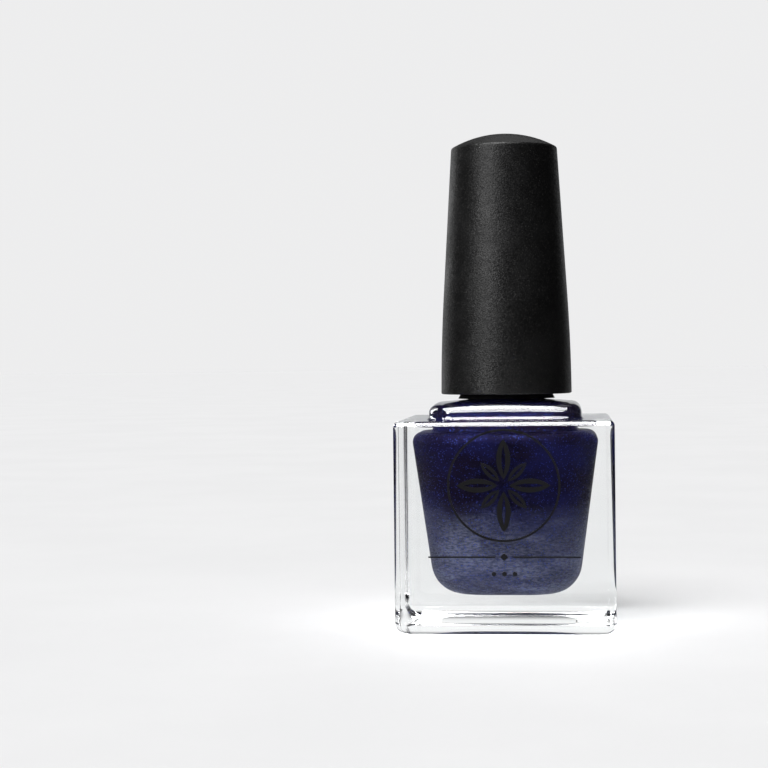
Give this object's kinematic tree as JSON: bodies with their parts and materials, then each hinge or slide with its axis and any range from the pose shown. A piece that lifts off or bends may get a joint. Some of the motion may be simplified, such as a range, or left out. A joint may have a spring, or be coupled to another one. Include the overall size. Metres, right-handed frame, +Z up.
{
  "type": "nail polish bottle",
  "caption": "Square thick-walled clear glass nail polish bottle with a rounded liquid chamber and a tall tapered black brush cap that unscrews and lifts off.",
  "frame": {"origin": "centre of the base, on the surface that the bottle stands on", "axes": "+Z up along the bottle's axis; the printed front face looks along -Y; +X is to the right when facing it"},
  "size_m": [0.034, 0.0341, 0.0791],
  "materials": {
    "glass_bottle": "clear, thick-walled, fire-polished",
    "polish": "liquid lacquer, navy with a fine blue shimmer",
    "front_print": "thin black screen-printed ink",
    "mixing_balls": "polished stainless steel",
    "rim_liner": "smooth natural polyethylene",
    "gasket": "white polyethylene foam",
    "overcap": "fine-grained matte black",
    "inner_cap": "plain black polypropylene",
    "brush_stem": "smooth black polyethylene",
    "bristle_staple": "drawn wire",
    "bristles": "fine black nylon filaments"
  },
  "bodies": {
    "bottle": {"glass_bottle": "glass_bottle", "polish": "polish", "front_print": "front_print"},
    "liner": {"rim_liner": "rim_liner"},
    "seal": {"gasket": "gasket"},
    "cap": {"overcap": "overcap", "inner_cap": "inner_cap", "brush_stem": "brush_stem", "bristle_staple": "bristle_staple", "bristles": "bristles"},
    "ball_left": {"mixing_ball_left": "mixing_balls"},
    "ball_right": {"mixing_ball_right": "mixing_balls"}
  },
  "joints": [
    {"name": "brush_lift", "type": "slide", "parent": "bottle", "child": "liner", "axis": [0, 0, 1], "range_m": [0, 0.06]},
    {"name": "cap_rise", "type": "slide", "parent": "liner", "child": "seal", "axis": [0, 0, 1], "range_m": [0, 0.00318]},
    {"name": "cap_turn", "type": "hinge", "parent": "seal", "child": "cap", "pos_m": [0, 0, 0.0471], "axis": [0, 0, 1], "range_deg": [0, 540]},
    {"name": "ball_left_roll", "type": "slide", "parent": "bottle", "child": "ball_left", "axis": [-1, 0, 0], "range_m": [0, 0.0034]},
    {"name": "ball_right_roll", "type": "slide", "parent": "bottle", "child": "ball_right", "axis": [1, 0, 0], "range_m": [0, 0.0034]}
  ],
  "couplings": [
    {"joint": "cap_rise", "follows": "cap_turn", "m_per_rad": 0.00033688}
  ]
}
